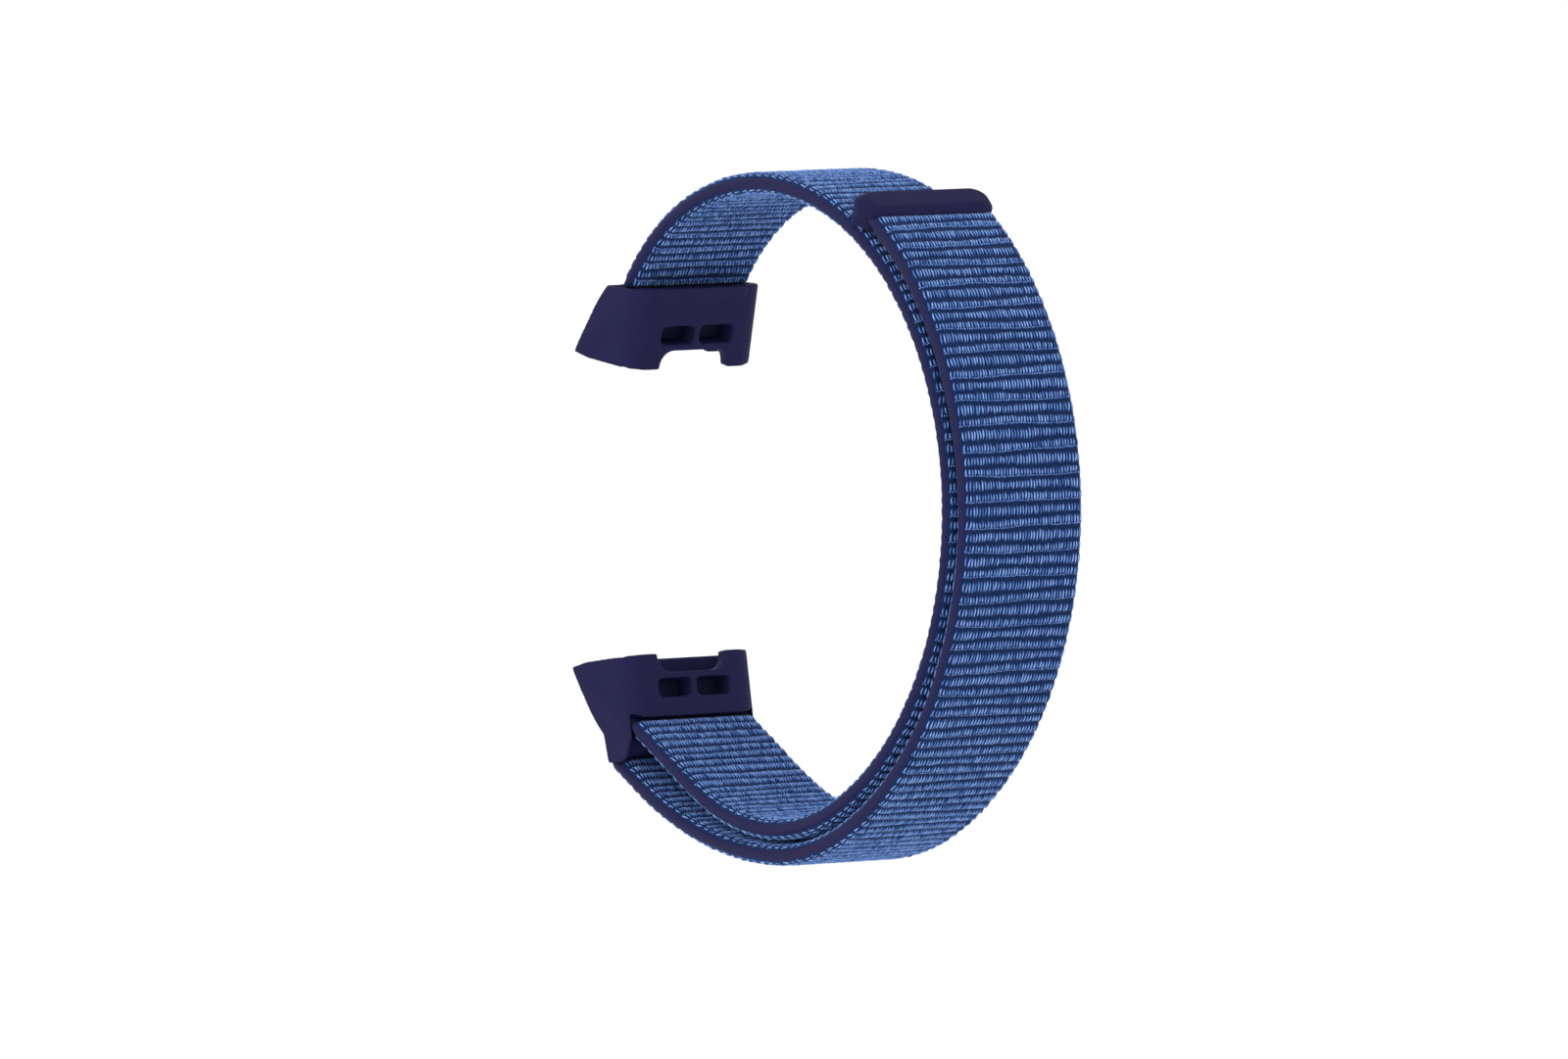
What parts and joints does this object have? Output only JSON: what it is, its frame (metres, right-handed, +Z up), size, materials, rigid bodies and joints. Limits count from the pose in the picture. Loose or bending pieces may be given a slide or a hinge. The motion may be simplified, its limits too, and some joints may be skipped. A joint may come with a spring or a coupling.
{
  "type": "fitness tracker band",
  "caption": "Woven nylon wrist band with hook-and-loop closure, pull tab and quick-release end connectors for a slab tracker.",
  "frame": {"origin": "middle of the opening for the wrist, halfway across the strap's width", "axes": "+Y along the wrist, across the strap's width; +X from the tracker's side to the back of the wrist; +Z up, from the bottom connector to the top one"},
  "size_m": [0.0745, 0.0236, 0.0829],
  "materials": {
    "woven_nylon": "matt woven nylon with ribs across the strap",
    "core_nylon": "smooth knitted nylon edge",
    "hook_tape": "moulded hook tape",
    "thread": "bonded polyester thread",
    "tab_plastic": "fine satin moulding",
    "connector_plastic": "fine satin moulding",
    "pad_plastic": "fine satin moulding",
    "pin_steel": "drawn stainless steel"
  },
  "bodies": {
    "strap": {"wrist_face": "woven_nylon", "inner_core": "core_nylon", "mating_face": "woven_nylon", "hem": "core_nylon", "hem_stitches": "thread", "fold_core": "core_nylon", "fold_outer_face": "woven_nylon", "fold_inner_face": "woven_nylon"},
    "peel_stage_1": {"peel_core_1": "core_nylon", "peel_face_1": "woven_nylon", "peel_pile_1": "woven_nylon"},
    "peel_stage_2": {"peel_core_2": "core_nylon", "peel_face_2": "woven_nylon", "peel_pile_2": "woven_nylon"},
    "free_end": {"peel_core_3": "core_nylon", "peel_face_3": "woven_nylon", "hook_patch": "hook_tape", "tab_outer_half": "tab_plastic", "tab_inner_half": "tab_plastic", "tab_studs": "tab_plastic"},
    "top_connector": {"top_cover": "connector_plastic", "top_shell": "connector_plastic", "top_bar": "pin_steel"},
    "top_release": {"top_release_pad": "pad_plastic", "top_pad_spring": "pin_steel"},
    "bottom_connector": {"bottom_cover": "connector_plastic", "bottom_shell": "connector_plastic", "bottom_bar": "connector_plastic"},
    "bottom_release": {"bottom_release_pad": "pad_plastic", "bottom_pad_spring": "pin_steel"}
  },
  "joints": [
    {"name": "top_swing", "type": "hinge", "parent": "strap", "child": "top_connector", "pos_m": [-0.03377, 0, 0.02321], "axis": [0, 1, 0], "range_deg": [-5, 5]},
    {"name": "bottom_swing", "type": "hinge", "parent": "strap", "child": "bottom_connector", "pos_m": [-0.03275, 0, -0.03098], "axis": [0, 1, 0], "range_deg": [-8, 8]},
    {"name": "top_pad_press", "type": "slide", "parent": "top_connector", "child": "top_release", "axis": [-0.9816, 0, 0.1908], "range_m": [0, 0.0006], "stiffness_N_per_m": 1500, "springref_m": -0.0002},
    {"name": "bottom_pad_press", "type": "slide", "parent": "bottom_connector", "child": "bottom_release", "axis": [-0.9816, 0, -0.1908], "range_m": [0, 0.0006], "stiffness_N_per_m": 1500, "springref_m": -0.0002},
    {"name": "peel_tab", "type": "hinge", "parent": "peel_stage_2", "child": "free_end", "pos_m": [0.03181, 0, 0.01696], "axis": [0, 1, 0], "range_deg": [0, 36]},
    {"name": "peel_middle", "type": "hinge", "parent": "peel_stage_1", "child": "peel_stage_2", "pos_m": [0.03269, 0, -0.01346], "axis": [0, 1, 0], "range_deg": [0, 36]},
    {"name": "peel_root", "type": "hinge", "parent": "strap", "child": "peel_stage_1", "pos_m": [0.0138, 0, -0.03783], "axis": [0, 1, 0], "range_deg": [0, 36]}
  ],
  "couplings": [
    {"joint": "peel_middle", "follows": "peel_tab", "ratio": 1},
    {"joint": "peel_root", "follows": "peel_tab", "ratio": 1}
  ]
}
